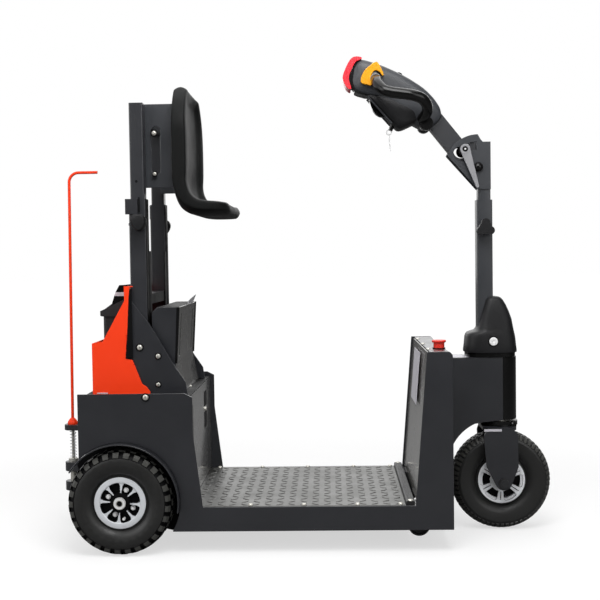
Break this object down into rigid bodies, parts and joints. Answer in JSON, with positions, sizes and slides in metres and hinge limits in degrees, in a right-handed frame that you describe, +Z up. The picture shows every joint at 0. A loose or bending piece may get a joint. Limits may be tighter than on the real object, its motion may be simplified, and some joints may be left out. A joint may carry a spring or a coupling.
{
  "type": "airport baggage tug",
  "caption": "Small three-wheeled towing tug with a tread deck to stand on, a seat on a telescopic mast, a tilting tiller and a spring-loaded tow hitch.",
  "frame": {"origin": "on the floor, under the middle of the machine's bounding box", "axes": "+X towards the steered front wheel, +Y to the rider's left, +Z up"},
  "size_m": [1.326, 0.55, 1.2779],
  "materials": {
    "charcoal_steel": "satin charcoal powder coat",
    "tread_aluminium": "raised tread pattern",
    "black_strip": "ribbed black",
    "bare_steel": "zinc-plated steel",
    "spring_steel": "oiled spring steel",
    "cast_iron": "dark cast case",
    "orange_steel": "orange-red powder coat",
    "battery_plastic": "grained black",
    "moulded_black": "satin moulded black",
    "gloss_black": "glossy black",
    "yellow_plastic": "glossy yellow",
    "red_plastic": "glossy red",
    "tyre": "black rubber",
    "silver_rim": "silver-painted cast rim",
    "roller_rubber": "hard black tread"
  },
  "bodies": {
    "chassis": {"side_plate_right": "charcoal_steel", "side_plate_left": "charcoal_steel", "arch_lips": "charcoal_steel", "housing_front_panel": "charcoal_steel", "housing_rear_panel": "charcoal_steel", "housing_shelf": "charcoal_steel", "wheel_boxes": "charcoal_steel", "column_rear_panel": "charcoal_steel", "column_front_panel": "charcoal_steel", "column_top": "charcoal_steel", "neck_shell": "charcoal_steel", "deck_frame": "charcoal_steel", "frame_channels": "charcoal_steel", "mast_frame": "charcoal_steel", "mast_gussets": "charcoal_steel", "control_box": "charcoal_steel", "hitch_bracket": "charcoal_steel", "roller_brackets": "charcoal_steel", "deck_plate": "tread_aluminium", "toe_strip": "black_strip", "rear_axle": "bare_steel", "head_tube": "bare_steel", "hitch_spring": "spring_steel", "drive_unit": "cast_iron", "battery_tray": "orange_steel", "battery_pack": "battery_plastic", "mast_knobs": "moulded_black", "stop_button": "red_plastic"},
    "wheel_rear_left": {"rear_tyre_left": "tyre", "rear_rim_left": "silver_rim"},
    "wheel_rear_right": {"rear_tyre_right": "tyre", "rear_rim_right": "silver_rim"},
    "wheel_front": {"front_tyre": "tyre", "front_rim": "silver_rim"},
    "roller_wheel_left": {"roller_left": "roller_rubber"},
    "roller_wheel_right": {"roller_right": "roller_rubber"},
    "steering": {"fork": "charcoal_steel", "front_axle": "bare_steel", "boot": "moulded_black", "steering_post": "charcoal_steel", "post_knob": "moulded_black"},
    "steering_inner": {"post_inner": "charcoal_steel"},
    "tiller": {"tiller_arm": "charcoal_steel", "clamp_lever": "bare_steel", "tiller_head": "moulded_black", "belly_button": "red_plastic", "throttle": "yellow_plastic", "loop_handles": "gloss_black", "key_switch": "bare_steel"},
    "seat_carriage": {"mast_inner_tubes": "charcoal_steel", "seat_bracket": "charcoal_steel", "seat_shell": "moulded_black"},
    "hitch_pin": {"coupling_pin": "bare_steel", "pull_rod": "orange_steel"}
  },
  "joints": [
    {"name": "rear_left_spin", "type": "hinge", "parent": "chassis", "child": "wheel_rear_left", "pos_m": [-0.461, 0.233, 0.134], "axis": [0, 1, 0], "continuous": true},
    {"name": "rear_right_spin", "type": "hinge", "parent": "chassis", "child": "wheel_rear_right", "pos_m": [-0.461, -0.233, 0.134], "axis": [0, 1, 0], "continuous": true},
    {"name": "front_spin", "type": "hinge", "parent": "steering", "child": "wheel_front", "pos_m": [0.529, 0, 0.134], "axis": [0, 1, 0], "continuous": true},
    {"name": "roller_left_spin", "type": "hinge", "parent": "chassis", "child": "roller_wheel_left", "pos_m": [0.292, 0.19, 0.057], "axis": [0, 1, 0], "continuous": true},
    {"name": "roller_right_spin", "type": "hinge", "parent": "chassis", "child": "roller_wheel_right", "pos_m": [0.292, -0.19, 0.057], "axis": [0, 1, 0], "continuous": true},
    {"name": "steer", "type": "hinge", "parent": "chassis", "child": "steering", "pos_m": [0.527, 0, 0.38], "axis": [0, 0, 1], "range_deg": [-45, 45]},
    {"name": "post_height", "type": "slide", "parent": "steering", "child": "steering_inner", "axis": [0, 0, 1], "range_m": [-0.02, 0.12]},
    {"name": "tiller_tilt", "type": "hinge", "parent": "steering_inner", "child": "tiller", "pos_m": [0.473, 0, 0.977], "axis": [0, 1, 0], "range_deg": [-15, 25]},
    {"name": "seat_height", "type": "slide", "parent": "chassis", "child": "seat_carriage", "axis": [0, 0, 1], "range_m": [-0.15, 0.15]},
    {"name": "pin_lift", "type": "slide", "parent": "chassis", "child": "hitch_pin", "axis": [0, 0, 1], "range_m": [0, 0.058], "stiffness_N_per_m": 250, "springref_m": -0.02, "deforming": ["hitch_spring"]}
  ]
}
